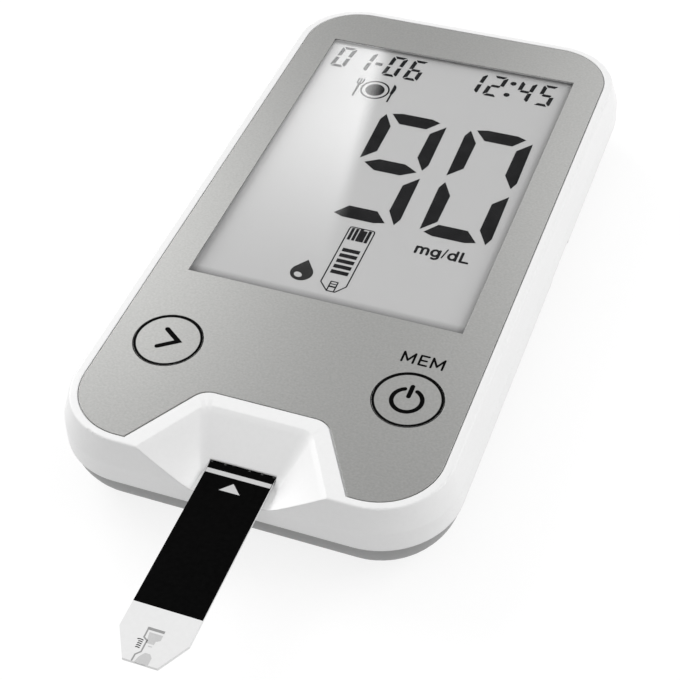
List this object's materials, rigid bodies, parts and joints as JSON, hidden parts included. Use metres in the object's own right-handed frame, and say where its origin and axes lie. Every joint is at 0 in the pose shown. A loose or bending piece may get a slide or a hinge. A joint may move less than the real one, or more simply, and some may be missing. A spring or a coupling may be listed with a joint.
{
  "type": "blood glucose meter",
  "caption": "Slim handheld blood glucose meter with a large display, two round keys and a test strip in the funnel-shaped port at its front end.",
  "frame": {"origin": "middle of the flat back, on the surface that the meter lies on", "axes": "+Z out of the display, +Y from the strip port to the far end, +X to the right as the display is read"},
  "size_m": [0.05, 0.1173, 0.0126],
  "materials": {
    "white_plastic": "satin white moulded plastic",
    "plate_metal": "fine-grained satin metal",
    "lens_clear": "clear, polished",
    "lcd_grey": "pale grey liquid crystal cell",
    "grey_plastic": "matte mid-grey moulded plastic",
    "frame_plastic": "natural moulded plastic",
    "rubber_black": "soft silicone",
    "board_green": "solder-masked laminate",
    "black_plastic": "black moulded plastic",
    "contact_gold": "gold-plated spring metal",
    "bright_steel": "bright steel",
    "tan_ceramic": "unglazed ceramic",
    "strip_white": "smooth polyester sheet",
    "strip_black": "black printed polyester sheet"
  },
  "bodies": {
    "casing": {"top_housing": "white_plastic", "front_plate": "plate_metal", "display_lens": "lens_clear", "lcd_front_glass": "lcd_grey", "lcd_rear_glass": "lcd_grey", "lcd_reflector": "bright_steel", "lcd_frame": "frame_plastic", "zebra_connector": "rubber_black", "circuit_board": "board_green", "microcontroller": "black_plastic", "memory_chip": "black_plastic", "crystal": "bright_steel", "chip_capacitors": "tan_ceramic", "buzzer": "black_plastic", "data_port_shell": "bright_steel", "data_port_tongue": "black_plastic", "strip_connector": "black_plastic", "strip_contacts": "contact_gold", "next_dome": "bright_steel", "power_dome": "bright_steel", "rear_cover": "grey_plastic", "coin_cell": "bright_steel", "cell_clip": "contact_gold", "cell_spring": "contact_gold", "housing_screws": "bright_steel"},
    "next_button": {"next_key": "plate_metal"},
    "power_button": {"power_key": "plate_metal"},
    "door": {"battery_door": "grey_plastic"},
    "test_strip": {"strip_base": "strip_white", "strip_spacer": "strip_white", "strip_cover": "strip_black"}
  },
  "joints": [
    {"name": "next_key_press", "type": "slide", "parent": "casing", "child": "next_button", "axis": [0, 0, -1], "range_m": [0, 0.0003], "stiffness_N_per_m": 2000, "deforming": ["next_dome"]},
    {"name": "power_key_press", "type": "slide", "parent": "casing", "child": "power_button", "axis": [0, 0, -1], "range_m": [0, 0.0003], "stiffness_N_per_m": 2000, "deforming": ["power_dome"]},
    {"name": "battery_door_turn", "type": "hinge", "parent": "casing", "child": "door", "pos_m": [0, 0.0165, 0.0012], "axis": [0, 0, -1], "range_deg": [0, 50]},
    {"name": "strip_pull", "type": "slide", "parent": "casing", "child": "test_strip", "axis": [0, -1, 0], "range_m": [0, 0.012]}
  ]
}
